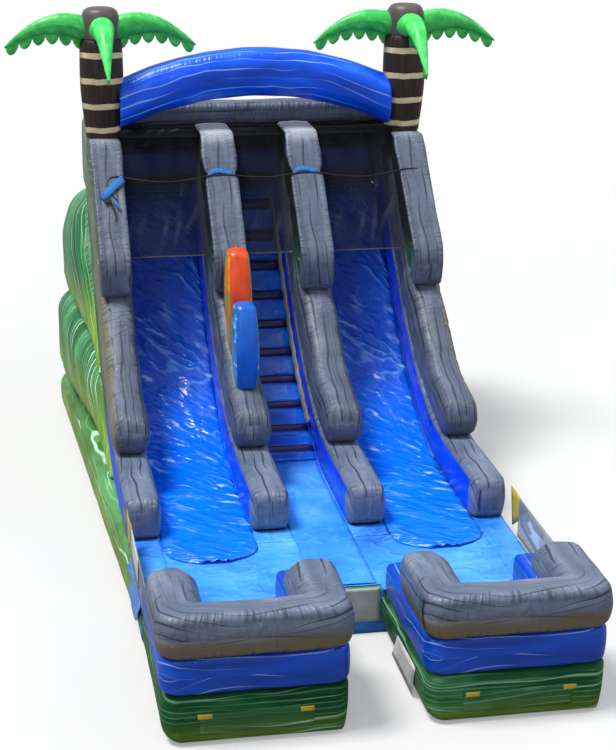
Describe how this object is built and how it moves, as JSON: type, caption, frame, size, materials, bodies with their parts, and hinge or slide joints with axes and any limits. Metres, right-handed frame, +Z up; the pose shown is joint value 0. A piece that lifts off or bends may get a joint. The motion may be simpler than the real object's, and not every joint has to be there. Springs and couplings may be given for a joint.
{
  "type": "inflatable dual lane slide",
  "caption": "Inflatable slide with side-by-side lanes, a ladder between them, landing pockets, netted top platform, palms and an arch",
  "frame": {"origin": "bottom centre of the slide's box, on the ground", "axes": "+X to the right seen from the landing pockets, +Y from the pockets to the tower, +Z up"},
  "size_m": [5.904, 9.2746, 5.3606],
  "materials": {
    "azure_vinyl": "vinyl",
    "blue_vinyl": "vinyl",
    "deck_vinyl": "vinyl",
    "green_vinyl": "marbled vinyl",
    "hose": "satin black",
    "lane_vinyl": "wet glossy vinyl",
    "leaf_vinyl": "vinyl",
    "mesh_panel": "fine mesh",
    "net": "black knotted netting",
    "orange_vinyl": "vinyl",
    "ring_metal": "plated wire",
    "rock_vinyl": "marbled vinyl",
    "step_vinyl": "vinyl",
    "trunk_vinyl": "banded vinyl",
    "webbing": "woven webbing",
    "white_vinyl": "plain vinyl sheet"
  },
  "bodies": {
    "slide": {"arch": "blue_vinyl", "back_wall": "blue_vinyl", "blue_surfboard": "azure_vinyl", "cross_beam": "rock_vinyl", "deck_mat": "deck_vinyl", "hand_strap": "webbing", "inner_baffles": "green_vinyl", "ladder_bed": "deck_vinyl", "ladder_net": "net", "ladder_treads": "step_vinyl", "left_bumper": "rock_vinyl", "left_inflation_sleeve": "green_vinyl", "left_inner_column": "rock_vinyl", "left_inner_middle": "rock_vinyl", "left_inner_rail": "blue_vinyl", "left_lane_bed": "lane_vinyl", "left_lane_cover": "lane_vinyl", "left_lane_net": "net", "left_lower_side": "green_vinyl", "left_outer_column": "rock_vinyl", "left_outer_middle": "rock_vinyl", "left_outer_rail": "blue_vinyl", "left_palm_crown": "leaf_vinyl", "left_palm_trunk": "trunk_vinyl", "left_pocket_course": "blue_vinyl", "left_pod_base": "green_vinyl", "left_side_panel": "mesh_panel", "left_tower_side": "green_vinyl", "left_upper_side": "green_vinyl", "main_base": "green_vinyl", "orange_surfboard": "orange_vinyl", "platform": "deck_vinyl", "right_bumper": "rock_vinyl", "right_inflation_sleeve": "green_vinyl", "right_inner_column": "rock_vinyl", "right_inner_middle": "rock_vinyl", "right_inner_rail": "blue_vinyl", "right_lane_bed": "lane_vinyl", "right_lane_cover": "lane_vinyl", "right_lane_net": "net", "right_lower_side": "green_vinyl", "right_outer_column": "rock_vinyl", "right_outer_middle": "rock_vinyl", "right_outer_rail": "blue_vinyl", "right_palm_crown": "leaf_vinyl", "right_palm_trunk": "trunk_vinyl", "right_pocket_course": "blue_vinyl", "right_pod_base": "green_vinyl", "right_side_panel": "mesh_panel", "right_tower_side": "green_vinyl", "right_upper_side": "green_vinyl", "roof_net": "net", "spray_hose": "hose"},
    "banner": {"entrance_banner": "white_vinyl"},
    "left_flap": {"left_lift_flap": "green_vinyl"},
    "right_flap": {"right_lift_flap": "green_vinyl"},
    "left_lower_tie": {"left_lower_ring": "ring_metal"},
    "left_upper_tie": {"left_upper_ring": "ring_metal"},
    "right_lower_tie": {"right_lower_ring": "ring_metal"},
    "right_upper_tie": {"right_upper_ring": "ring_metal"}
  },
  "joints": [
    {"name": "banner_hinge", "type": "hinge", "parent": "slide", "child": "banner", "pos_m": [0, -2.8133, 0.49], "axis": [-1, 0, 0], "range_deg": [0, 90]},
    {"name": "left_flap_hinge", "type": "hinge", "parent": "slide", "child": "left_flap", "pos_m": [-1.17, -4.6333, 0.31], "axis": [-1, 0, 0], "range_deg": [0, 90]},
    {"name": "right_flap_hinge", "type": "hinge", "parent": "slide", "child": "right_flap", "pos_m": [1.17, -4.6333, 0.31], "axis": [-1, 0, 0], "range_deg": [0, 90]},
    {"name": "left_lower_ring_hinge", "type": "hinge", "parent": "slide", "child": "left_lower_tie", "pos_m": [-2.28979, 2.417, 1.15], "axis": [0, 1, 0], "range_deg": [0, 150]},
    {"name": "left_upper_ring_hinge", "type": "hinge", "parent": "slide", "child": "left_upper_tie", "pos_m": [-2.25164, 3.317, 2.2], "axis": [0, 1, 0], "range_deg": [0, 150]},
    {"name": "right_lower_ring_hinge", "type": "hinge", "parent": "slide", "child": "right_lower_tie", "pos_m": [2.28979, 2.417, 1.15], "axis": [0, -1, 0], "range_deg": [0, 150]},
    {"name": "right_upper_ring_hinge", "type": "hinge", "parent": "slide", "child": "right_upper_tie", "pos_m": [2.25164, 3.317, 2.2], "axis": [0, -1, 0], "range_deg": [0, 150]}
  ]
}
